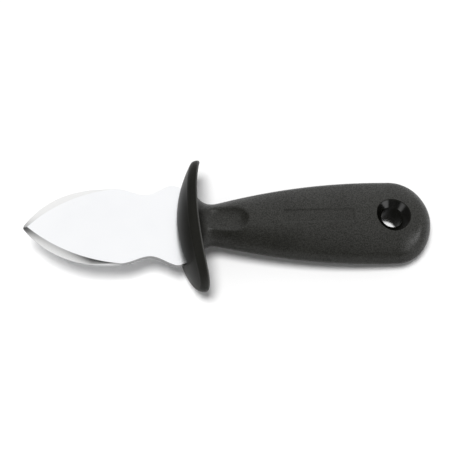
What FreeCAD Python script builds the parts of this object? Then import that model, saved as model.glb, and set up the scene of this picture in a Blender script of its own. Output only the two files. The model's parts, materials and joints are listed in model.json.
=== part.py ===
import FreeCAD
import Part
import math
import os

# Oyster knife, in millimetres. It is built along its own axis, tip towards -X and butt towards +X, with
# the guard's front at X = 0 and the blade in the plane Z = 0. At the end it is laid down as it rests on a
# table, on the guard's rim and the butt, with Z = 0 at the table.

# Blade
blade_length = 60.0          # sharp corner of the point to the guard's front
blade_thickness = 2.2
tip_round = 1.0              # radius that blunts the point
belly_width = 32.0           # across the parallel stretch behind the point
belly_start = 30.0           # tip to the parallel stretch
belly_flat = 7.0             # length of the parallel stretch
waist_width = 26.4
waist_to_guard = 11.6
root_width = 34.8            # across the shoulders
shoulder_depth = 4.6         # how far the shoulders reach behind the guard's front
edge_land = 0.5              # blunt edge left by the grinding
bevel_width = 2.9            # ground bevel, measured across the blade
bevel_full_at = 19.8         # tip to the station where the bevel has its full width
bevel_at_tip = 1.8           # ridge where the two bevels of a face meet
grind_overcut = 0.6          # how far the grinding passes outside the outline
grind_run_out = 0.12         # how far it passes both ends of the edge, as a share of its arc

# Tang inside the handle
tang_width = 11.0
tang_length = 50.0           # from the guard's front
key_count = 2                # holes that the moulded handle fills
key_diameter = 5.0
key_first = 22.0
key_pitch = 17.0

# Guard
guard_width = 54.6
guard_height = 36.0
guard_tip_share = 0.69       # radius of the guard's two tips, as a share of its half height
face_radius_across = 52.0    # front of the guard, seen from above
face_radius_upright = 60.0   # front of the guard, seen from the side
guard_rim = 3.2              # thickness at the rim
rim_front_share = 0.62       # rounding of the rim's front edge, as a share of the rim
rim_back_share = 0.24        # rounding of the rim's back edge, as a share of the rim

# Grip
neck_at = 13.0               # station of the neck, from the guard's front
neck_width = 17.4
neck_flatness = 0.86         # thickness of the neck, as a share of its width
neck_fillet = 7.5            # blend from the neck to the back of the guard, where the guard is tall enough
grip_width = 35.0
grip_thickness = 17.2
widest_to_butt = 22.3        # widest station to the end of the butt
grip_length = 102.3          # guard's front to the end of the butt
butt_length = 15.5           # rounded end, seen from above
butt_depth = 7.5             # rounded end, seen from the side
side_round_share = 0.62      # side radius of the grip, as a share of its half thickness
body_steps = 10              # sections between the guard and the butt
butt_steps = 8               # sections of the rounded end
section_points = 48          # points round each section
butt_close = 88.0            # degrees round the end at which its last section closes it

# Thumb scoop in both faces of the neck
scoop_width = 9.4
scoop_radius = 10.0          # hollow of its floor and its ends
scoop_clearance = 0.3        # between its front ball and the back of the guard
scoop_end = 27.0

# Hanging hole
hole_to_butt = 16.8          # middle of the hole to the end of the butt
hole_diameter = 8.8
countersink_width = 2.25     # how much wider its polished mouths are, all round
countersink_depth = 3.1

vector = FreeCAD.Vector
along = vector(1, 0, 0)
up = vector(0, 0, 1)


def sagitta(radius, half_chord):
    return radius - math.sqrt(radius**2 - half_chord**2)


def radius_from(half_chord, rise):
    return (half_chord**2 + rise**2) / (2 * rise)


def crown_radius(half_width, half_height, side_radius):
    side = half_width - side_radius
    return (side**2 + half_height**2 - side_radius**2) / (2 * (half_height - side_radius))


# A closed oval of four tangent arcs in the plane X = x, one of them in two halves, so that the curve starts
# in the middle of a side. The side radius sets the crown radius.
def oval(x, half_width, half_height, side_radius):
    side = half_width - side_radius
    rise = crown_radius(half_width, half_height, side_radius) - half_height
    lean = math.atan2(rise, side)

    def on_side(angle, across=1):
        return vector(x, across * (side + side_radius * math.cos(angle)), side_radius * math.sin(angle))

    middle = on_side(0)
    top = vector(x, 0, half_height)
    bottom = vector(x, 0, -half_height)
    arcs = [
        Part.Arc(middle, on_side(lean / 2), on_side(lean)),
        Part.Arc(on_side(lean), top, on_side(lean, -1)),
        Part.Arc(on_side(lean, -1), on_side(0, -1), on_side(-lean, -1)),
        Part.Arc(on_side(-lean, -1), bottom, on_side(-lean)),
        Part.Arc(on_side(-lean), on_side(-lean / 2), middle),
    ]
    return Part.Wire([arc.toShape() for arc in arcs])


# An arc of the circle through three points, carried past both ends by a share of its angle.
def long_arc(first, middle, last, share):
    arc = Part.Arc(first, middle, last)
    extra = share * (arc.LastParameter - arc.FirstParameter)
    circle = Part.Circle(first, middle, last)
    return Part.ArcOfCircle(circle, arc.FirstParameter - extra, arc.LastParameter + extra).toShape()


# Depth of the guard on its axis, with its back flat from the rim above to the rim below.
guard_depth = sagitta(face_radius_upright, guard_height / 2) + guard_rim

neck_thickness = neck_flatness * neck_width
rim_back_round = rim_back_share * guard_rim
neck_blend = min(neck_fillet, guard_height / 2 - 2 * rim_back_round - neck_thickness / 2)
grip_widest_at = grip_length - widest_to_butt
hole_at = grip_length - hole_to_butt


def mirrored(shape, normal):
    return shape.mirror(vector(0, 0, 0), normal)


belly_radius = radius_from(belly_start, belly_width / 2)


# Middle of the rounded point, whose circle touches the belly arcs of both sides from inside.
def tip_centre():
    drop = belly_radius - belly_width / 2
    back = math.sqrt((belly_radius - tip_round)**2 - drop**2)
    return vector(belly_start - blade_length - back, 0, 0)


# Point where the rounded point meets the belly arc of one side.
def tip_touch(side):
    belly_centre = vector(belly_start - blade_length, side * (belly_width / 2 - belly_radius), 0)
    return belly_centre + (tip_centre() - belly_centre) * (belly_radius / (belly_radius - tip_round))


# Half outline of the blade: a convex arc from the point to the belly, a short parallel stretch, a curve
# through the waist to the shoulder, then the tang.
def blade_outline(side):
    belly = side * belly_width / 2
    belly_front = vector(belly_start - blade_length, belly, 0)
    belly_back = belly_front + along * belly_flat
    waist = vector(-waist_to_guard, side * waist_width / 2, 0)
    root = vector(0, side * root_width / 2, 0)
    shoulder = root + along * shoulder_depth
    tang_foot = vector(shoulder_depth, side * tang_width / 2, 0)
    tang_corner = vector(tang_length - tang_width / 2, side * tang_width / 2, 0)

    back = belly_radius * math.sin(math.asin(belly_start / belly_radius) / 2)
    halfway = belly_front - vector(back, side * sagitta(belly_radius, back), 0)
    waist_curve = Part.BSplineCurve()
    waist_curve.interpolate(Points=[belly_back, waist, root], Tangents=[along, along, along],
                            TangentFlags=[True, True, True])
    return [
        Part.Arc(tip_touch(side), halfway, belly_front).toShape(),
        Part.makeLine(belly_front, belly_back),
        waist_curve.toShape(),
        Part.makeLine(root, shoulder),
        Part.makeLine(shoulder, tang_foot),
        Part.makeLine(tang_foot, tang_corner),
    ]


# Material that grinding takes off the upper face along one edge. Its floor is ruled from the inner line
# of the bevel, on the face, to a line just outside the outline, and it runs out at the end of the belly.
def bevel_cutter():
    belly = belly_width / 2
    middle_x = bevel_full_at - blade_length
    middle_y = belly - sagitta(belly_radius, belly_start - blade_length - middle_x)
    run_out_x = belly_start + belly_flat - blade_length
    face = blade_thickness / 2
    reach = bevel_width + grind_overcut
    low = face - (face - edge_land / 2) * reach / bevel_width
    inner = long_arc(vector(bevel_at_tip - blade_length, 0, face),
                     vector(middle_x, middle_y - bevel_width, face),
                     vector(run_out_x, belly, face), grind_run_out)
    outer = long_arc(vector(-blade_length - grind_overcut, 0, low),
                     vector(middle_x, middle_y + grind_overcut, low),
                     vector(run_out_x, belly + grind_overcut, low), grind_run_out)
    return Part.makeRuledSurface(inner, outer).extrude(up * blade_thickness)


def make_blade():
    end = Part.Arc(vector(tang_length - tang_width / 2, tang_width / 2, 0), vector(tang_length, 0, 0),
                   vector(tang_length - tang_width / 2, -tang_width / 2, 0)).toShape()
    point = Part.Arc(tip_touch(1), tip_centre() - along * tip_round, tip_touch(-1)).toShape()
    edges = Part.__sortEdges__([point] + blade_outline(1) + [end] + blade_outline(-1))
    blank = Part.Face(Part.Wire(edges)).extrude(up * blade_thickness)
    blank.translate(up * (-blade_thickness / 2))
    for number in range(key_count):
        centre = vector(key_first + number * key_pitch, 0, -blade_thickness)
        blank = blank.cut(Part.makeCylinder(key_diameter / 2, 2 * blade_thickness, centre, up))
    upper = bevel_cutter()
    cutters = [upper, mirrored(upper, vector(0, 1, 0))]
    cutters += [mirrored(cutter, up) for cutter in cutters]
    return blank.cut(cutters)


# Edges along the rim's wall, one for each of its arcs: the front ones for place 0, the back ones for -1.
def rim_edges(guard, place):
    walls = [face for face in guard.Faces if face.Surface.TypeId == "Part::GeomCylinder"]
    walls = [face for face in walls if abs(face.Surface.Axis.x) > abs(face.Surface.Axis.z)]
    chosen = []
    for face in walls:
        curved = [edge for edge in face.Edges if edge.Curve.TypeId != "Part::GeomLine"]
        chosen.append(sorted(curved, key=lambda edge: edge.CenterOfMass.x)[place])
    return chosen


# Guard: an oval disc, domed towards the blade, slightly hollow towards the hand. Its rim is rolled over in
# front and only broken at the back.
def make_guard():
    half_width = guard_width / 2
    half_height = guard_height / 2
    back_rise = sagitta(face_radius_across, half_width) + guard_rim - guard_depth
    back_radius = radius_from(half_width, back_rise)

    outline = oval(0, half_width, half_height, guard_tip_share * half_height)
    disc = Part.Face(outline).extrude(along * face_radius_across)
    axis = vector(face_radius_across, 0, 0)
    tall = up * guard_height
    far_edge = axis + along * (face_radius_across - sagitta(face_radius_upright, guard_height))
    dome = Part.Wire([
        Part.Arc(far_edge - tall, axis * 2, far_edge + tall).toShape(),
        Part.makeLine(far_edge + tall, axis + tall),
        Part.makeLine(axis + tall, axis - tall),
        Part.makeLine(axis - tall, far_edge - tall),
    ])
    barrel = Part.Face(dome).revolve(axis, up, 360)
    hollow_axis = vector(guard_depth + back_radius, 0, -guard_height)
    hollow = Part.makeCylinder(back_radius, 2 * guard_height, hollow_axis, up)
    guard = disc.common(barrel).cut(hollow).Solids[0]
    guard = guard.makeFillet(rim_front_share * guard_rim, rim_edges(guard, 0))
    return guard.makeFillet(rim_back_round, rim_edges(guard, -1))


# Half width and half thickness of the grip at a station: steady up to the neck, a parabola from there to
# the widest station, then an elliptical end.
def grip_half_sizes(x):
    short = min(max((grip_widest_at - x) / (grip_widest_at - neck_at), 0), 1)
    sizes = []
    ends = [(neck_width, grip_width, butt_length), (neck_thickness, grip_thickness, butt_depth)]
    for neck, widest, end in ends:
        past = max(x - (grip_length - end), 0) / end
        sizes.append((widest - (widest - neck) * short**2) / 2 * math.sqrt(1 - past**2))
    return sizes


# A section of the grip: its oval drawn as one smooth closed curve through evenly spaced points, so that the
# grip has a single side face for the guard's blend to follow all round.
def grip_section(x):
    half_width, half_thickness = grip_half_sizes(x)
    outline = oval(x, half_width, half_thickness, side_round_share * half_thickness)
    curve = Part.BSplineCurve()
    curve.interpolate(Points=outline.discretize(section_points + 1)[:-1], PeriodicFlag=True,
                      Parameters=list(range(section_points + 1)))
    return Part.Wire([curve.toShape()])


def make_grip():
    body_start = guard_depth / 2
    body_end = grip_length - butt_length
    stations = [body_start + (body_end - body_start) * step / body_steps for step in range(body_steps)]
    angles = [math.radians(butt_close) * step / butt_steps for step in range(butt_steps + 1)]
    stations += [body_end + butt_length * math.sin(angle) for angle in angles]
    sections = [grip_section(x) for x in stations]
    return Part.makeLoft(sections, True)


# Thumb scoop in the upper face: a rod with ball ends along the neck, sunk in until it is as wide as asked.
def make_scoop():
    front_x = guard_depth + scoop_clearance + scoop_radius
    half_width, half_thickness = grip_half_sizes(front_x)
    crown = crown_radius(half_width, half_thickness, side_round_share * half_thickness)
    depth = sagitta(crown, scoop_width / 2) + sagitta(scoop_radius, scoop_width / 2)
    back_x = scoop_end - math.sqrt(scoop_radius**2 - (scoop_radius - depth)**2)
    height = half_thickness - depth + scoop_radius
    front = vector(front_x, 0, height)
    back = vector(back_x, 0, height)
    high = up * scoop_radius
    reach = along * scoop_radius
    half_section = Part.Wire([
        Part.Arc(front - reach, front + (high - reach) / math.sqrt(2), front + high).toShape(),
        Part.makeLine(front + high, back + high),
        Part.Arc(back + high, back + (high + reach) / math.sqrt(2), back + reach).toShape(),
        Part.makeLine(back + reach, front - reach),
    ])
    return Part.Face(half_section).revolve(front, along, 360)


def edges_between(shape, x_low, x_high, reach):
    chosen = []
    for edge in shape.Edges:
        box = edge.BoundBox
        inside = x_low < box.XMin and box.XMax < x_high
        if inside and max(box.YMax, -box.YMin, box.ZMax, -box.ZMin) < reach:
            chosen.append(edge)
    return chosen


# Hanging hole with a countersunk mouth in each face, turned as one shape about its axis.
def make_hole():
    half_thickness = grip_half_sizes(hole_at)[1]
    bore = hole_diameter / 2
    wall_end = half_thickness - countersink_depth
    top = half_thickness + countersink_depth
    wide = bore + 2 * countersink_width
    profile = [vector(hole_at, 0, -top), vector(hole_at + wide, 0, -top), vector(hole_at + bore, 0, -wall_end),
               vector(hole_at + bore, 0, wall_end), vector(hole_at + wide, 0, top), vector(hole_at, 0, top)]
    face = Part.Face(Part.makePolygon(profile + profile[:1]))
    return face.revolve(vector(hole_at, 0, 0), up, 360)


# Handle: grip and guard in one moulding, closed round the tang so that it fills the tang's holes.
def make_handle(blade):
    body = make_guard().fuse(make_grip()).Solids[0]
    neck_reach = max(neck_width, neck_thickness) / 2 + neck_blend
    body = body.makeFillet(neck_blend, edges_between(body, guard_depth - guard_rim, neck_at, neck_reach))
    scoop = make_scoop()
    body = body.cut([scoop, mirrored(scoop, up)]).Solids[0]
    return body.cut([make_hole(), blade])


# Lies on the guard's rim and the butt: turned about Y by the angle that brings both to one level.
def lay_down(shapes):
    rim_low = vector(guard_depth - rim_back_round, 0, -guard_height / 2)
    butt_low = vector(grip_length - butt_depth, 0, -grip_thickness / 2)
    pitch = math.degrees(math.atan2(butt_low.z - rim_low.z, butt_low.x - rim_low.x))
    for shape in shapes:
        shape.rotate(vector(0, 0, 0), vector(0, 1, 0), pitch)
    box = Part.makeCompound(shapes).optimalBoundingBox(True)
    for shape in shapes:
        shape.translate(vector(-(box.XMin + box.XMax) / 2, 0, -box.ZMin))
    return shapes


def main():
    os.makedirs("parts", exist_ok=True)
    blade = make_blade()
    handle = make_handle(blade)
    blade, handle = lay_down([blade.Solids[0], handle.Solids[0]])
    blade.exportStep("parts/blade.step")
    handle.exportStep("parts/handle.step")


if __name__ == "__main__":
    main()
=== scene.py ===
import bmesh
import bpy
import json
import numpy as np
from math import radians
from mathutils import Matrix, Vector


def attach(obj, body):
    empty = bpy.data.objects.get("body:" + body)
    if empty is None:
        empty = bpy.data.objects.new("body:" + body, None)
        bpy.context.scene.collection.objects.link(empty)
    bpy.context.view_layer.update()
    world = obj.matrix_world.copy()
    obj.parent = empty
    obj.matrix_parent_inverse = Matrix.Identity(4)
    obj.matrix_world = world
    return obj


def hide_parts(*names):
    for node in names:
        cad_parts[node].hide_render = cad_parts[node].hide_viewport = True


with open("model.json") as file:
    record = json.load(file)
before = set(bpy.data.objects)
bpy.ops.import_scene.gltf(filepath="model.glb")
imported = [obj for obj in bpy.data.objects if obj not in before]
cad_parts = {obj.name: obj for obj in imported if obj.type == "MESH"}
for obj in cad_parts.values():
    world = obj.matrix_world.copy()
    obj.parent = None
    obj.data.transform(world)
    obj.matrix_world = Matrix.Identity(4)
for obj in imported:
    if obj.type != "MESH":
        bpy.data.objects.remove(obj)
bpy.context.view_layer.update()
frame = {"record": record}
mm = 0.001
hangHole = next(mount for mount in frame["record"]["mounts"] if mount["name"] == "hang_hole")

# All sizes below are in millimetres, on the knife's own axes: tip towards -X, butt towards +X, the
# guard's front at 0 and the blade in the plane Z = 0.


def toTable(points):
    # The mount of the hanging hole gives the place and the turn: its axis is the knife's Z.
    sine, _, cosine = hangHole["axis"]
    turn = np.array([[cosine, 0, sine], [0, 1, 0], [-sine, 0, cosine]])
    return (points - [handle["holeAt"], 0, 0]) * mm @ turn.T + np.array(hangHole["pos_m"])


def sagitta(radius, halfChord):
    # Height of a circular arc over its chord: radius less the root of radius^2 - half chord^2.
    return radius - np.sqrt(radius**2 - halfChord**2)


def radiusFrom(halfChord, rise):
    # The same arc the other way: half chord^2 plus rise^2, over twice the rise.
    return (halfChord**2 + rise**2) / (2 * rise)


def crownRadius(side, height, sideRadius):
    # The crown arc that runs smoothly into two side arcs, whose middles lie at plus and minus side:
    # (side^2 + height^2 - side radius^2) / 2(height - side radius).
    return (side**2 + height**2 - sideRadius**2) / (2 * (height - sideRadius))


def smooth(low, high, value):
    # Smooth step: 3t^2 - 2t^3 with t running from 0 at low to 1 at high.
    t = np.clip((value - low) / (high - low), 0, 1)
    return t * t * (3 - 2 * t)


def roundOff(start, corner, end, weight, steps):
    # A corner rounded by a conic: (1-t)^2 start + 2w t(1-t) corner + t^2 end, over the sum of the three
    # factors.
    t = np.linspace(0, 1, steps).reshape(-1, 1, 1)
    first, middle, last = (1 - t)**2, 2 * weight * t * (1 - t), t**2
    return (first * start + middle * corner + last * end) / (first + middle + last)


def gridFaces(ids, closed=True):
    # Quads between neighbouring rows and columns of an index grid, the last column joined to the first.
    right = np.roll(ids, -1, axis=1) if closed else ids[:, 1:]
    left = ids if closed else ids[:, :-1]
    return np.stack([left[:-1], right[:-1], right[1:], left[1:]], axis=-1)


def makePiece(name, points, quads, tris, creaseAngle, pointFields, faceFields):
    # Vertices no face uses are dropped and doubles are merged, so that poles and tips close.
    used, compact = np.unique(np.concatenate([quads.ravel(), tris.ravel()]), return_inverse=True)
    compact = compact.ravel()
    faces = compact[:quads.size].reshape(-1, 4).tolist() + compact[quads.size:].reshape(-1, 3).tolist()
    mesh = bpy.data.meshes.new(name)
    mesh.from_pydata(toTable(points[used]).tolist(), [], faces)
    kept = {field: values[used] for field, values in pointFields.items()}
    for domain, fields in (("POINT", kept), ("FACE", faceFields)):
        for field, values in fields.items():
            layer = mesh.attributes.new(field, "FLOAT", domain)
            layer.data.foreach_set("value", values.astype(np.float32))
    work = bmesh.new()
    work.from_mesh(mesh)
    bmesh.ops.remove_doubles(work, verts=work.verts, dist=1e-6)
    bmesh.ops.dissolve_degenerate(work, edges=work.edges, dist=1e-7)
    bmesh.ops.recalc_face_normals(work, faces=work.faces)
    work.to_mesh(mesh)
    work.free()
    mesh.shade_smooth()
    mesh.set_sharp_from_angle(angle=radians(creaseAngle))
    piece = bpy.data.objects.new(name, mesh)
    bpy.context.scene.collection.objects.link(piece)
    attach(piece, "root")
    print(name, len(mesh.vertices), "vertices", len(mesh.polygons), "faces")
    return piece


class Socket:
    # Wraps an output socket, so that shader maths reads as plain expressions.
    def __init__(self, tree, out):
        self.tree, self.out = tree, out

    def add(self, kind, settings=None, inputs=None, give=0):
        # Any node: its type, its settings, the values or links of its sockets, and the output to give.
        node = self.tree.nodes.new(kind)
        for key, value in (settings or {}).items():
            setattr(node, key, value)
        for key, value in (inputs or {}).items():
            if isinstance(value, Socket):
                self.tree.links.new(value.out, node.inputs[key])
            else:
                node.inputs[key].default_value = value
        return Socket(self.tree, node.outputs[give])

    def maths(self, operation, a, b):
        return self.add("ShaderNodeMath", {"operation": operation}, {0: a, 1: b})

    def __add__(self, other):
        return self.maths("ADD", self, other)

    def __radd__(self, other):
        return self.maths("ADD", other, self)

    def __sub__(self, other):
        return self.maths("SUBTRACT", self, other)

    def __rsub__(self, other):
        return self.maths("SUBTRACT", other, self)

    def __mul__(self, other):
        return self.maths("MULTIPLY", self, other)

    def __rmul__(self, other):
        return self.maths("MULTIPLY", other, self)

    def larger(self, other):
        return self.maths("MAXIMUM", self, other)

    def ramp(self, low, high):
        return self.add("ShaderNodeMapRange", {"interpolation_type": "SMOOTHSTEP"},
                        {"Value": self, "From Min": low, "From Max": high})

    def blend(self, first, second):
        # Sockets 6 and 7 of a Mix node are its colours, and output 2 is the mixed colour.
        return self.add("ShaderNodeMix", {"data_type": "RGBA"}, {0: self, 6: first, 7: second}, give=2)

    def noise(self, scale, detail, rough=0.5):
        return self.add("ShaderNodeTexNoise", {}, {"Vector": self, "Scale": scale, "Detail": detail,
                                                   "Roughness": rough})

    def stretch(self, factors):
        return self.add("ShaderNodeMapping", {}, {"Vector": self, "Scale": factors})

    def field(self, name):
        return self.add("ShaderNodeAttribute", {"attribute_name": name}, give=2)   # the plain number


def newMaterial(name):
    material = bpy.data.materials.new(name)
    material.use_nodes = True
    tree = material.node_tree
    shader = next(node for node in tree.nodes if node.type == "BSDF_PRINCIPLED")
    where = tree.nodes.new("ShaderNodeTexCoord")
    return material, shader, Socket(tree, where.outputs["Object"])


def feed(node, name, value):
    value.tree.links.new(value.out, node.inputs[name])


# Handle: one moulding from the guard's dome to the butt, with the hanging hole through it.
handle = {
    "guardWidth": 54.6, "guardHeight": 36.0, "guardTipShare": 0.69,
    "guardRim": 3.2, "rimFrontShare": 0.95, "rimBackShare": 0.24,
    "faceAcross": 52.0, "faceUpright": 60.0,
    "neckAt": 14.0, "neckSoft": 1.5, "neckWidth": 17.4, "neckFlatness": 0.86, "neckFillet": 7.5,
    "gripWidth": 35.0, "gripThickness": 17.2, "widestAt": 80.0, "length": 102.3,
    "buttLength": 15.5, "buttDepth": 7.5, "sideShare": 0.62,
    "scoopWidth": 9.4, "scoopRadius": 10.0, "scoopClearance": 0.3, "scoopEnd": 27.0, "scoopSoft": 0.5,
    "panelMiddle": 55.4, "panelLength": 29.4, "panelWidth": 5.2, "panelCorner": 0.8,
    "panelDepth": 0.45, "panelEdge": 0.25,
    "holeAt": 85.5, "holeRadius": 4.4, "sinkWidth": 2.6, "sinkDepth": 3.1,
    "polishEnds": (6.5, 12.5), "flankHeights": (0.1, 0.5), "crease": 50,
    "quarter": 52, "sideColumns": 0.3, "domeRows": 40, "rimFrontRows": 20, "rimBackRows": 8,
    "plateRows": 18, "filletRows": 26, "bodyGap": 0.2, "bodyStep": 0.5, "buttStep": 1.5,
    "mouthShare": 0.9, "mouthFade": 2.4,
}


def ovalRing(halfWidth, halfHeight, sideRadius):
    # Four tangent arcs. Each quarter runs round the side arc first, then along the crown arc. Gives y, z
    # and the normal's y and z.
    a, b, r = [np.asarray(value, float).reshape(-1, 1) for value in (halfWidth, halfHeight, sideRadius)]
    side = a - r
    crown = crownRadius(side, b, r)
    lean = np.arctan2(crown - b, side)
    t = np.linspace(0, 1, handle["quarter"] + 1)
    share = handle["sideColumns"]
    onSide = t < share
    sideAngle = lean * np.minimum(t / share, 1)
    crownAngle = (np.pi / 2 - lean) * np.minimum((1 - t) / (1 - share), 1)
    y = np.where(onSide, side + r * np.cos(sideAngle), crown * np.sin(crownAngle))
    z = np.where(onSide, r * np.sin(sideAngle), crown * np.cos(crownAngle) - (crown - b))
    ny = np.where(onSide, np.cos(sideAngle), np.sin(crownAngle))
    nz = np.where(onSide, np.sin(sideAngle), np.cos(crownAngle))

    def round4(values, across, upright):
        # One quarter, mirrored into the other three, forwards and backwards by turns.
        there, back = values[:, :-1], values[:, :0:-1]
        return np.concatenate([there, across * back, across * upright * there, upright * back], axis=1)

    return round4(y, -1, 1), round4(z, 1, -1), round4(ny, -1, 1), round4(nz, 1, -1)


def gripSizes(x):
    # Half width and half thickness: steady to the neck, a parabola to the widest station, then an
    # elliptical end, widest times the root of 1 - (past / end length)^2. The parabola starts softly: its
    # station is the root of past^2 + soft^2, less soft.
    h = handle
    neckThick = h["neckFlatness"] * h["neckWidth"]
    start, soft = h["neckAt"], h["neckSoft"]
    eased = start + np.hypot(np.maximum(x - start, 0), soft) - soft
    short = np.clip((h["widestAt"] - eased) / (h["widestAt"] - start), 0, 1)
    sizes = []
    for neck, widest, end in ((h["neckWidth"], h["gripWidth"], h["buttLength"]),
                              (neckThick, h["gripThickness"], h["buttDepth"])):
        past = np.clip((x - (h["length"] - end)) / end, 0, 1)
        sizes.append((widest - (widest - neck) * short**2) / 2 * np.sqrt(1 - past**2))
    return sizes


def upperHeight(x, y):
    # Height of the grip's upper face: the crown arc inside its tangent point, else the side arc.
    a, b = gripSizes(x)
    r = handle["sideShare"] * b
    side = a - r
    crown = crownRadius(side, b, r)
    onCrown = np.abs(y) < crown * side / (crown - r)
    crownZ = np.sqrt(np.maximum(crown**2 - y**2, 0)) - (crown - b)
    sideZ = np.sqrt(np.maximum(r**2 - (np.abs(y) - side)**2, 0))
    return np.where(onCrown, crownZ, sideZ)


guardDepth = sagitta(handle["faceUpright"], handle["guardHeight"] / 2) + handle["guardRim"]


def guardFront(y, z):
    # A barrel: its radius across shrinks with height as a circular arc, and the face is its near side.
    across = handle["faceAcross"]
    return across - np.sqrt((across - sagitta(handle["faceUpright"], z))**2 - y**2)


def guardBack(y):
    # An upright cylinder, through the rim's back at both tips and the guard's depth in the middle.
    half = handle["guardWidth"] / 2
    rise = sagitta(handle["faceAcross"], half) + handle["guardRim"] - guardDepth
    return guardDepth + sagitta(radiusFrom(half, rise), y)


def guardRows():
    # Rings from the middle of the dome over the rounded rim and down the back to the neck's blend. The
    # second array marks the rim's back edge, where a painted highlight goes: the sine of the way round its
    # rounding.
    h = handle
    half = h["guardHeight"] / 2
    y, z, ny, nz = ovalRing(h["guardWidth"] / 2, half, h["guardTipShare"] * half)

    def corner(surface, wallWay, share):
        # The rounding touches the face and the rim's wall at radius / tan(half the corner's angle).
        step = 0.01
        stepY, stepZ = step * ny, step * nz
        rimRound = share * h["guardRim"]
        slope = (surface(y + stepY, z + stepZ) - surface(y - stepY, z - stepZ)) / (2 * step)
        angle = np.pi / 2 + wallWay * np.arctan(slope)
        reach = rimRound / np.tan(angle / 2)
        sharp = np.stack([surface(y, z), y, z], axis=-1)
        wall = sharp + (wallWay * reach)[..., None] * [1, 0, 0]
        back = reach / np.sqrt(1 + slope**2)
        face = np.stack([sharp[..., 0] - slope * back, y - ny * back, z - nz * back], axis=-1)
        return face, sharp, wall, np.sin(angle / 2)[..., None]

    frontFace, frontSharp, frontWall, frontWeight = corner(guardFront, 1, h["rimFrontShare"])
    backFace, backSharp, backWall, backWeight = corner(lambda v, w: guardBack(v), -1, h["rimBackShare"])
    spread = np.linspace(0, 1, h["domeRows"])[1:, None]
    domeY, domeZ = spread * frontFace[..., 1], spread * frontFace[..., 2]
    dome = np.stack([guardFront(domeY, domeZ), domeY, domeZ], axis=-1)
    front = roundOff(frontFace, frontSharp, frontWall, frontWeight, h["rimFrontRows"])[1:]
    behind = roundOff(backWall, backSharp, backFace, backWeight, h["rimBackRows"])

    neckHalf = h["neckWidth"] / 2
    neckThick = h["neckFlatness"] * neckHalf
    neckY, neckZ, neckNy, neckNz = ovalRing(neckHalf, neckThick, h["sideShare"] * neckThick)
    blend = h["neckFillet"]
    outY, outZ = neckY + blend * neckNy, neckZ + blend * neckNz
    inward = np.linspace(0, 1, h["plateRows"])[1:-1, None]
    backY = backFace[..., 1] + (outY - backFace[..., 1]) * inward
    backZ = backFace[..., 2] + (outZ - backFace[..., 2]) * inward
    plate = np.stack([guardBack(backY), backY, backZ], axis=-1)
    foot = np.stack([guardBack(neckY), neckY, neckZ], axis=-1)
    outer = np.stack([guardBack(outY), outY, outZ], axis=-1)
    fillet = roundOff(outer, foot, foot + [blend, 0, 0], np.sqrt(0.5), h["filletRows"])
    rows = np.concatenate([dome, front, behind, plate, fillet])
    edge = np.zeros(rows.shape[:2])
    edge[len(dome) + len(front):][:len(behind)] = np.sin(np.linspace(0, np.pi, len(behind)))[:, None]
    return rows, edge


def gripRows():
    # Oval rings along the grip, then round the butt by equal angles.
    h = handle
    buttFrom = h["length"] - h["buttLength"]
    steps = int((buttFrom - h["neckAt"]) / h["bodyStep"])
    bodyFrom = guardBack(h["neckWidth"] / 2) + h["neckFillet"] + h["bodyGap"]
    body = np.linspace(bodyFrom, buttFrom, steps)
    angles = np.radians(np.arange(h["buttStep"], 90, h["buttStep"]))
    x = np.concatenate([body, buttFrom + h["buttLength"] * np.sin(angles)])
    a, b = gripSizes(x)
    y, z, _, _ = ovalRing(a, b, h["sideShare"] * b)
    return np.stack([np.broadcast_to(x[:, None], y.shape), y, z], axis=-1)


def sinkScoops(points):
    # A rod with ball ends lies along the neck over each face. What it reaches is lowered to its
    # underside, with a soft minimum: min(a, b) - k/4 * max(1 - |a - b| / k, 0)^2.
    h = handle
    radius = h["scoopRadius"]
    front = guardDepth + h["scoopClearance"] + radius
    a, b = gripSizes(np.array(front))
    r = h["sideShare"] * b
    crown = crownRadius(a - r, b, r)
    depth = sagitta(crown, h["scoopWidth"] / 2) + sagitta(radius, h["scoopWidth"] / 2)
    back = h["scoopEnd"] - np.sqrt(radius**2 - (radius - depth)**2)
    centreZ = b - depth + radius
    x, y, z = points[..., 0], points[..., 1], points[..., 2]
    off2 = np.maximum(np.maximum(front - x, x - back), 0)**2 + y**2
    floor = centreZ - np.sqrt(np.maximum(radius**2 - off2, 0))
    high = np.abs(z)
    soft = h["scoopSoft"]
    mix = np.maximum(1 - np.abs(high - floor) / soft, 0)
    lowered = np.minimum(high, floor) - soft / 4 * mix**2
    inside = (off2 < radius**2) & (high > b / 2)
    points[..., 2] = np.where(inside, np.sign(z) * lowered, z)


def sinkPanel(points):
    # A bare sunk panel on the upper face: its depth times a smooth step of the distance to its rounded
    # outline.
    h = handle
    corner, soft = h["panelCorner"], h["panelEdge"]
    dx = np.abs(points[..., 0] - h["panelMiddle"]) - (h["panelLength"] / 2 - corner)
    dy = np.abs(points[..., 1]) - (h["panelWidth"] / 2 - corner)
    outside = np.hypot(np.maximum(dx, 0), np.maximum(dy, 0)) + np.minimum(np.maximum(dx, dy), 0) - corner
    sunk = h["panelDepth"] * (1 - smooth(-soft, soft, outside))
    points[..., 2] -= np.where(points[..., 2] > 0, sunk, 0)


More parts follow.
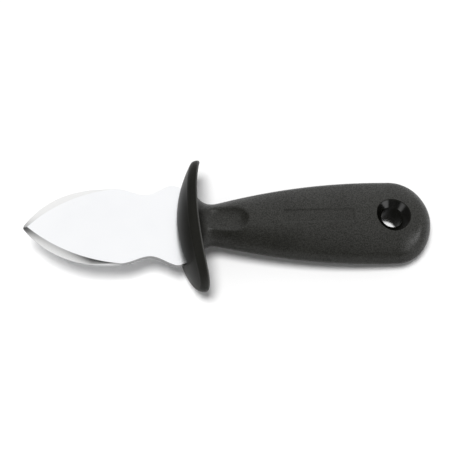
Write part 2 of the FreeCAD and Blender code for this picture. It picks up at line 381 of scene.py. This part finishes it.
def openHole(rows, column):
    # Bends the grid round the hole: index squares about the middle become circles. The first square
    # reaches share * mouth from the middle and becomes the mouth. A ring at square distance q goes to
    # radius mouth * (1 + share * (q - 1)), and the pull fades out with q.
    h = handle
    mouth, share = h["holeRadius"] + h["sinkWidth"], h["mouthShare"]
    reach = share * mouth
    along = rows[:, column, 0]
    first, last = [int(np.argmin(np.abs(along - (h["holeAt"] + way * reach)))) for way in (-1, 1)]
    beside = np.abs(rows[(first + last) // 2, column:column + h["quarter"], 1])
    across = int(np.argmin(np.abs(beside - reach)))
    i = (np.arange(len(rows)) - (first + last) / 2) / ((last - first) / 2)
    j = (np.arange(rows.shape[1]) - column) / across
    p, q = np.meshgrid(i, j, indexing="ij")
    ring = np.maximum(np.abs(p), np.abs(q))
    towards = np.sign(rows[first, column + across, 1])
    angle = np.arctan2(q * towards, p)
    radius = mouth * (1 + share * (ring - 1))
    pull = np.where(ring >= 0.999, 1 - smooth(1, h["mouthFade"], ring), 0)   # the first square included
    x = rows[..., 0] + pull * (h["holeAt"] + radius * np.cos(angle) - rows[..., 0])
    y = rows[..., 1] + pull * (radius * np.sin(angle) - rows[..., 1])
    z = np.sign(rows[..., 2]) * upperHeight(x, y)
    moved = pull > 0
    rows[moved] = np.stack([x, y, z], axis=-1)[moved]
    return first, last, column - across, column + across


def loopCells(first, last, low, high):
    # Rows and columns round a rectangular block of the grid, side by side.
    tall, wide = last - first, high - low
    row = np.concatenate([np.arange(first, last), np.full(wide, last), np.arange(last, first, -1),
                          np.full(wide, first)])
    column = np.concatenate([np.full(tall, high), np.arange(high, low, -1), np.full(tall, low),
                             np.arange(low, high)])
    return row, column


def holeRings(loop):
    # From the upper mouth down: straight down the countersink, straight down the bore, and the same
    # again below. The second array marks the rings that shine: the countersinks inside their outer edge.
    h = handle
    angle = np.arctan2(loop[:, 1], loop[:, 0] - h["holeAt"])
    boreEnd = gripSizes(np.array(h["holeAt"]))[1] - h["sinkDepth"]
    wall = np.stack([h["holeAt"] + h["holeRadius"] * np.cos(angle), h["holeRadius"] * np.sin(angle),
                     np.full(angle.shape, boreEnd)], axis=-1)
    sinkSteps = np.array([0.02, 0.2, 0.4, 0.6, 0.8, 0.97, 1])
    boreSteps = np.array([0.02, 0.2, 0.4, 0.6, 0.8, 0.98])
    sink = loop + (wall - loop) * sinkSteps[:, None, None]
    bore = wall + (wall * [1, 1, -1] - wall) * boreSteps[:, None, None]
    shiny = (sinkSteps > 0.1) & (sinkSteps < 1)
    gloss = np.concatenate([shiny, np.zeros(len(boreSteps)), shiny[::-1]])
    return np.concatenate([sink, bore, sink[::-1] * [1, 1, -1]]), gloss


def handleFields(flat, rings, gloss, rimEdge):
    # Fields for the finish, over the grid, the hole's rings and the two poles. Polish is a smooth step
    # down along the neck. Flank is a smooth step down with height over half thickness.
    h = handle
    bare = np.zeros(rings[..., 0].size)
    thinnest = 0.5   # keeps the height's share steady at the butt's end
    high = np.abs(flat[:, 2]) / np.maximum(gripSizes(flat[:, 0])[1], thinnest)
    parts = {
        "polish": (1 - smooth(*h["polishEnds"], flat[:, 0]), bare + 1, [1, 0]),
        "edge": (np.pad(rimEdge.ravel(), (0, len(flat) - rimEdge.size)), bare, [0, 0]),
        "hole": (np.zeros(len(flat)), np.repeat(gloss, rings.shape[1]), [0, 0]),
        "flank": (1 - smooth(*h["flankHeights"], high), bare, [0, 0]),
    }
    return {field: np.concatenate(values) for field, values in parts.items()}


def buildHandle():
    # The guard's and the grip's rings make one grid. The blocks over the hole are left open and joined by
    # a tube, and fans close both ends.
    h = handle
    guard, rimEdge = guardRows()
    grip = gripRows()
    sinkScoops(guard[-h["filletRows"]:])
    sinkScoops(grip)
    sinkPanel(grip)
    quarter = h["quarter"]
    block = openHole(grip, quarter)
    lowerBlock = openHole(grip, 3 * quarter)
    rows = np.concatenate([guard, grip])
    flat = rows.reshape(-1, 3)
    ids = np.arange(len(flat)).reshape(rows.shape[:2])
    gripIds = ids[len(guard):]
    quads = gridFaces(ids)
    keep = np.ones(quads.shape[:2], bool)
    for first, last, low, high in (block, lowerBlock):
        keep[len(guard) + first:len(guard) + last, low:high] = False
    row, column = loopCells(*block)
    upperLoop = gripIds[row, column]
    lowerLoop = gripIds[row, 4 * quarter - column]
    rings, gloss = holeRings(flat[upperLoop])
    ringIds = len(flat) + np.arange(rings[..., 0].size).reshape(rings.shape[:2])
    tube = gridFaces(np.concatenate([upperLoop[None], ringIds, lowerLoop[None]]))
    poles = np.array([[0, 0, 0], [h["length"], 0, 0]])
    frontPole = len(flat) + ringIds.size
    points = np.concatenate([flat, rings.reshape(-1, 3), poles])
    caps = np.concatenate([
        np.stack([np.full(ids.shape[1], frontPole), np.roll(ids[0], -1), ids[0]], axis=-1),
        np.stack([np.full(ids.shape[1], frontPole + 1), ids[-1], np.roll(ids[-1], -1)], axis=-1)])
    skin = np.concatenate([quads[keep], tube.reshape(-1, 4)])
    fields = handleFields(flat, rings, gloss, rimEdge)
    piece = makePiece("knifeHandle", points, skin, caps, h["crease"], fields, {})
    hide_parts("handle")
    return piece


# Blade: a flat blank with a bevel ground along both edges, run out at the end of the belly.
blade = {
    "length": 60.0, "thickness": 2.2, "tipRound": 1.0, "bellyWidth": 32.0, "bellyStart": 30.0,
    "bellyFlat": 7.0, "waistWidth": 26.4, "waistToGuard": 11.6, "rootWidth": 34.8, "shoulder": 4.6,
    "heelFrom": -2.0, "heelDrop": 1.6,
    "edgeLand": 0.5, "bevelWidth": 2.9, "bevelFullAt": 19.8, "bevelAtTip": 1.8, "hollow": 0.3,
    "steepest": 2.0, "bevelEdge": (-0.15, 0.05), "cutAtTip": 0.45, "cutFull": (-30, -20), "crease": 12,
    "stations": 260, "crowding": 1.5, "flatColumns": 14, "bevelColumns": 8,
}


def bladeHalf(x):
    # Half outline: a circular arc from the tip to the belly, a parallel stretch, then smooth steps
    # through the waist to the shoulder, and a last one that rounds off the heel where it enters the guard.
    b = blade
    belly, waist, root = b["bellyWidth"] / 2, b["waistWidth"] / 2, b["rootWidth"] / 2
    start = b["bellyStart"] - b["length"]
    arc = radiusFrom(b["bellyStart"], belly)
    point = belly - sagitta(arc, np.clip(start - x, 0, b["bellyStart"]))
    toWaist = (waist - belly) * smooth(start + b["bellyFlat"], -b["waistToGuard"], x)
    toRoot = (root - waist) * smooth(-b["waistToGuard"], 0, x)
    heel = b["heelDrop"] * smooth(b["heelFrom"], b["shoulder"], x)
    return point + toWaist + toRoot - heel


def roundedTip():
    # The circle that blunts the point touches both belly arcs from inside: its middle lies on the axis,
    # at the difference of the radii from their middles. Gives its middle and where it meets the arcs.
    b = blade
    belly = b["bellyWidth"] / 2
    arc = radiusFrom(b["bellyStart"], belly)
    back = np.sqrt((arc - b["tipRound"])**2 - (arc - belly)**2)
    start = b["bellyStart"] - b["length"]
    return start - back, start - back * arc / (arc - b["tipRound"])


def bevelLine(x):
    # Inner line of the bevel: the circle through the ridge at the tip, the full width and the run-out.
    b = blade
    full = b["bevelFullAt"] - b["length"]
    runOut = b["bellyStart"] + b["bellyFlat"] - b["length"]
    ends = np.array([[b["bevelAtTip"] - b["length"], 0],
                     [full, bladeHalf(np.array(full)) - b["bevelWidth"]],
                     [runOut, b["bellyWidth"] / 2]])
    centre = np.linalg.solve(2 * (ends[1:] - ends[0]), (ends[1:]**2).sum(1) - (ends[0]**2).sum())
    radius = np.hypot(*(ends[0] - centre))
    inner = centre[1] + np.sqrt(np.maximum(radius**2 - (x - centre[0])**2, 0))
    return np.where(x < runOut, np.minimum(inner, bladeHalf(x)), bladeHalf(x))


def bladeRows():
    # Upper sections across the blade at each station: flat to the bevel's line, then down to the edge
    # with a slight hollow, s + hollow * s(1 - s). Where the bevel is narrower than steepest, it goes less
    # deep. The second array marks the bevel.
    b = blade
    t = np.linspace(0, 1, b["stations"])
    tipMiddle, tipMeets = roundedTip()
    tip = tipMiddle - b["tipRound"]
    x = (tip + (b["shoulder"] - tip) * t**b["crowding"])[:, None]
    sharp, inner = bladeHalf(x), bevelLine(x)
    blunt = np.sqrt(np.maximum(b["tipRound"]**2 - (x - tipMiddle)**2, 0))
    half = np.where(x < tipMeets, blunt, sharp)
    face = b["thickness"] / 2
    width = np.maximum(sharp - inner, 1e-6)
    drop = (face - b["edgeLand"] / 2) * np.minimum(width / b["steepest"], 1)
    across = np.linspace(0, 1, b["flatColumns"])
    down = np.linspace(0, 1, b["bevelColumns"])[1:]
    flat = np.maximum(inner, 0) * across
    y = np.concatenate([flat, flat[:, -1:] + (half - flat[:, -1:]) * down], axis=1)
    s = np.maximum(y - inner, 0) / width
    z = face - drop * (s + b["hollow"] * s * (1 - s))
    y = np.concatenate([y[:, ::-1], -y[:, 1:]], axis=1)
    z = np.concatenate([z[:, ::-1], z[:, 1:]], axis=1)
    ground = 1 - smooth(*b["bevelEdge"], inner - np.abs(y))
    return np.stack([np.broadcast_to(x, y.shape), y, z], axis=-1), ground


def buildBlade():
    # The upper sections and their mirror image make closed rings, and a flat cap shuts the heel. The walls
    # between them are darkened as the cut edge, partly the sheared steel's own tone and partly painted
    # shade of the shadowed table they mirror, least at the tip, where they are ground.
    b = blade
    upper, ground = bladeRows()
    rows = np.concatenate([upper, upper[:, ::-1] * [1, 1, -1]], axis=1)
    ground = np.concatenate([ground, ground[:, ::-1]], axis=1)
    ids = np.arange(rows[..., 0].size).reshape(rows.shape[:2])
    count = upper.shape[1]
    skin = gridFaces(ids)
    cap = gridFaces(np.stack([ids[-1, :count], ids[-1, :count - 1:-1]]), closed=False).reshape(-1, 4)
    # The walls' darkening, partly painted shade, rises from its tip value to full along the belly.
    wall = b["cutAtTip"] + (1 - b["cutAtTip"]) * smooth(*b["cutFull"], upper[:-1, :1, 0])
    cut = np.zeros(skin.shape[:2])
    cut[:, [count - 1, -1]] = wall
    cut = np.concatenate([cut.ravel(), np.ones(len(cap))])
    quads = np.concatenate([skin.reshape(-1, 4), cap])
    noTris = np.zeros((0, 3), int)
    piece = makePiece("knifeBlade", rows.reshape(-1, 3), quads, noTris, b["crease"],
                      {"ground": ground.ravel()}, {"cut": cut})
    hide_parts("blade")
    return piece


handlePiece = buildHandle()
bladePiece = buildBlade()


# Black moulded plastic: a fine spark-eroded grain on the grip, duller on its flanks, smoother on the guard
# and in the hole, and glossy on the countersinks. A painted highlight lightens the guard rim's back edge.
plastic = {
    "dark": (0.0076, 0.0076, 0.006, 1), "light": (0.0225, 0.0225, 0.0198, 1),
    "polishDark": (0.011, 0.011, 0.0095, 1), "polishLight": (0.016, 0.016, 0.0142, 1),
    # The pale colour for the guard rim's back edge is a painted highlight, mottled by the grain.
    "paintedRimHighlight": (0.1, 0.1, 0.096, 1), "paintedRimHighlightLeast": 0.6,
    "grain": 0.42 * mm, "grainDetail": 2.0, "grainBite": 0.6, "grainDepth": 0.05 * mm,
    "cloud": 60.0, "cloudDetail": 3.0, "cloudShare": 0.3, "fleckEnds": (0.3, 0.7),
    "grainRough": 0.5, "polishRough": 0.3, "cloudRough": 0.12, "grainSwing": 0.6, "polishSwing": 0.05,
    "polishFlat": 0.93, "specular": 0.02,
    "sheen": 0.98, "sheenRough": 0.38, "sheenLeast": 0.45, "sheenGrain": 0.5, "sheenEnds": (0.36, 0.64),
    "flankDull": 0.62,
    "sink": (0.003, 0.003, 0.0024, 1), "sinkRough": 0.16, "sinkSpecular": 1.0,
}


def plasticMaterial():
    p = plastic
    material, shader, where = newMaterial("grainedPlastic")
    polish, edge, flank, hole = [where.field(name) for name in ("polish", "edge", "flank", "hole")]
    grain = where.noise(1 / p["grain"], p["grainDetail"], p["grainBite"])
    cloud = where.noise(p["cloud"], p["cloudDetail"])
    fleck = (grain * (1 - p["cloudShare"]) + cloud * p["cloudShare"]).ramp(*p["fleckEnds"])
    body = polish.blend(fleck.blend(p["dark"], p["light"]),
                        fleck.blend(p["polishDark"], p["polishLight"]))
    # Painted highlight: the rim's back edge is lightened towards a pale grey, mottled by the grain.
    rimHighlightShare = edge * (p["paintedRimHighlightLeast"] + (1 - p["paintedRimHighlightLeast"]) * fleck)
    feed(shader, "Base Color", rimHighlightShare.blend(body, p["paintedRimHighlight"]))
    sheen = (1 - polish) * (1 - p["flankDull"] * flank) * p["sheen"]
    sparkle = p["sheenLeast"] + p["sheenGrain"] * grain.ramp(*p["sheenEnds"])
    feed(shader, "Coat Weight", sheen * sparkle)
    rough = p["grainRough"] + (p["polishRough"] - p["grainRough"]) * polish
    swing = p["grainSwing"] - (p["grainSwing"] - p["polishSwing"]) * polish
    feed(shader, "Roughness", rough + (cloud - 0.5) * p["cloudRough"] - (grain - 0.5) * swing)
    height = grain * (1 - polish * p["polishFlat"])
    feed(shader, "Normal", where.add("ShaderNodeBump", {}, {"Strength": 1.0, "Distance": p["grainDepth"],
                                                           "Height": height}))
    shader.inputs["Specular IOR Level"].default_value = p["specular"]
    shader.inputs["Coat Roughness"].default_value = p["sheenRough"]
    grained = Socket(where.tree, shader.outputs[0])
    glossy = where.add("ShaderNodeBsdfPrincipled", {},
                       {"Base Color": p["sink"], "Roughness": p["sinkRough"],
                        "Specular IOR Level": p["sinkSpecular"]})
    surface = next(node for node in where.tree.nodes if node.type == "OUTPUT_MATERIAL")
    feed(surface, "Surface", where.add("ShaderNodeMixShader", {}, {0: hole, 1: grained, 2: glossy}))
    return material


# Satin stainless steel: lengthwise brushing on the flats, cross-ground lines on the bevels and a darker
# cut edge, partly its own tone and partly painted shade.
steel = {
    "flat": (0.952, 0.96, 0.975, 1), "shade": (0.912, 0.922, 0.94, 1),
    # The dark colour of the cut edge is partly the sheared steel's own tone and partly painted shade.
    "ground": (0.885, 0.885, 0.882, 1), "cut": (0.2, 0.2, 0.203, 1),
    "brushing": (40, 9000, 9000), "grinding": (6000, 60, 60), "lineDetail": 2.0,
    "cloud": 70.0, "cloudDetail": 4.0, "toneEnds": (0.25, 0.6),
    "rough": 0.18, "groundRough": 0.22, "lineRough": 0.15, "lineDepth": 0.004 * mm, "lineStrength": 0.6,
}


def steelMaterial():
    s = steel
    material, shader, where = newMaterial("satinSteel")
    ground, cut = where.field("ground"), where.field("cut")
    brushed = where.stretch(s["brushing"]).noise(1.0, s["lineDetail"])
    cross = where.stretch(s["grinding"]).noise(1.0, s["lineDetail"])
    cloud = where.noise(s["cloud"], s["cloudDetail"])
    lines = brushed + (cross - brushed) * ground
    bevel = ground * (1 - cut)
    tone = (lines * 0.5 + cloud * 0.5).ramp(*s["toneEnds"]).blend(s["shade"], s["flat"])
    # The cut edge is painted darker: partly its own tone, partly painted shade.
    feed(shader, "Base Color", cut.blend(bevel.blend(tone, s["ground"]), s["cut"]))
    rough = s["rough"] + (s["groundRough"] - s["rough"]) * bevel
    feed(shader, "Roughness", rough + (lines - 0.5) * s["lineRough"])
    feed(shader, "Normal", where.add("ShaderNodeBump", {}, {"Strength": s["lineStrength"],
                                                           "Distance": s["lineDepth"], "Height": lines}))
    shader.inputs["Metallic"].default_value = 1.0
    return material


handlePiece.data.materials.append(plasticMaterial())
bladePiece.data.materials.append(steelMaterial())
print("materials done")


# Studio: a white table, a soft lamp from the upper left, a small one for the glint on the butt, and a
# room. Places are in metres. The room's parts are directions, each with the two ends of its soft edge.
studio = {
    "floorColour": (0.93, 0.93, 0.93, 1), "floorRough": 0.9, "floorSize": 6.0,
    "lampPlace": (-0.25, -0.36, 1.84), "lampSize": 0.52, "lampPower": 31.3,
    "glintPlace": (1.14, -0.5, 1.08), "glintSize": 0.1, "glintPower": 5.0,
    "roomDiffuse": 0.35, "roomBright": 1.0, "roomDark": 0.05, "roomBehind": 0.38,
    "cardAway": (-0.5, 0.15), "cardSide": (-0.62, -0.2), "behindEnds": (-0.8, -0.95),
    "boxLeft": (-0.787, -0.556, 0.266), "boxRight": (0.79, -0.6, 0.13), "boxEnds": (0.9, 0.97),
}


def buildFloor():
    # One square in the plane Z = 0, corners at plus and minus half its size.
    corners = np.array([[-1, -1, 0], [1, -1, 0], [1, 1, 0], [-1, 1, 0]]) * studio["floorSize"] / 2
    mesh = bpy.data.meshes.new("table")
    mesh.from_pydata(corners.tolist(), [], [(0, 1, 2, 3)])
    floor = bpy.data.objects.new("table", mesh)
    bpy.context.scene.collection.objects.link(floor)
    material, shader, _ = newMaterial("whiteTable")
    shader.inputs["Base Color"].default_value = studio["floorColour"]
    shader.inputs["Roughness"].default_value = studio["floorRough"]
    shader.inputs["Specular IOR Level"].default_value = 0.0
    mesh.materials.append(material)


def addLamp(name, place, size, power):
    # A round lamp that looks at the origin.
    lamp = bpy.data.lights.new(name, "AREA")
    lamp.shape, lamp.size, lamp.energy = "DISK", size, power
    holder = bpy.data.objects.new(name, lamp)
    turn = Vector(place).to_track_quat("Z", "Y").to_matrix().to_4x4()
    holder.matrix_world = Matrix.Translation(place) @ turn
    bpy.context.scene.collection.objects.link(holder)
    return holder


def buildRoom():
    # The room lights everything evenly and is white to the camera. In gloss it is a bright card on the
    # far side, a dimmer one on the near side and two boxes, dark in between.
    world = bpy.data.worlds.new("room")
    bpy.context.scene.world = world
    world.use_nodes = True
    tree = world.node_tree
    shade = next(node for node in tree.nodes if node.type == "BACKGROUND")
    shade.inputs["Color"].default_value = (1, 1, 1, 1)
    where = Socket(tree, tree.nodes.new("ShaderNodeTexCoord").outputs["Generated"])
    glossy = where.add("ShaderNodeLightPath", give="Is Glossy Ray")
    seen = where.add("ShaderNodeLightPath", give="Is Camera Ray")
    side = where.add("ShaderNodeSeparateXYZ", {}, {0: where}, give="X")
    away = where.add("ShaderNodeSeparateXYZ", {}, {0: where}, give="Y")
    card = away.ramp(*studio["cardAway"]) * side.ramp(*studio["cardSide"])
    card = card.larger(studio["roomBehind"] * away.ramp(*studio["behindEnds"]))
    for towards in (studio["boxLeft"], studio["boxRight"]):
        facing = where.add("ShaderNodeVectorMath", {"operation": "DOT_PRODUCT"}, {0: where, 1: towards},
                           give="Value")
        card = card.larger(facing.ramp(*studio["boxEnds"]))
    bright = studio["roomDark"] + (studio["roomBright"] - studio["roomDark"]) * card
    strength = studio["roomDiffuse"] + (bright - studio["roomDiffuse"]) * glossy
    feed(shade, "Strength", strength + (1 - strength) * seen)


buildFloor()
softLamp = addLamp("softLamp", studio["lampPlace"], studio["lampSize"], studio["lampPower"])
softLamp.visible_glossy = False
glintLamp = addLamp("glintLamp", studio["glintPlace"], studio["glintSize"], studio["glintPower"])
glintLamp.visible_diffuse = False
buildRoom()
print("studio done")


# Camera at the photo's viewing angle.
view = {"place": (-0.04654, -0.24945, 0.54809), "tilt": 25.498, "turn": -10.064, "roll": 5.740,
        "lens": 119.85, "sensor": 36.0}


def buildCamera():
    data = bpy.data.cameras.new("camera")
    data.lens, data.sensor_width = view["lens"], view["sensor"]
    camera = bpy.data.objects.new("camera", data)
    camera.matrix_world = (Matrix.Translation(view["place"])
                           @ Matrix.Rotation(radians(view["turn"]), 4, "Z")
                           @ Matrix.Rotation(radians(view["tilt"]), 4, "X")
                           @ Matrix.Rotation(radians(view["roll"]), 4, "Z"))
    bpy.context.scene.collection.objects.link(camera)
    bpy.context.scene.camera = camera


buildCamera()
bpy.context.scene.view_settings.view_transform = "Standard"
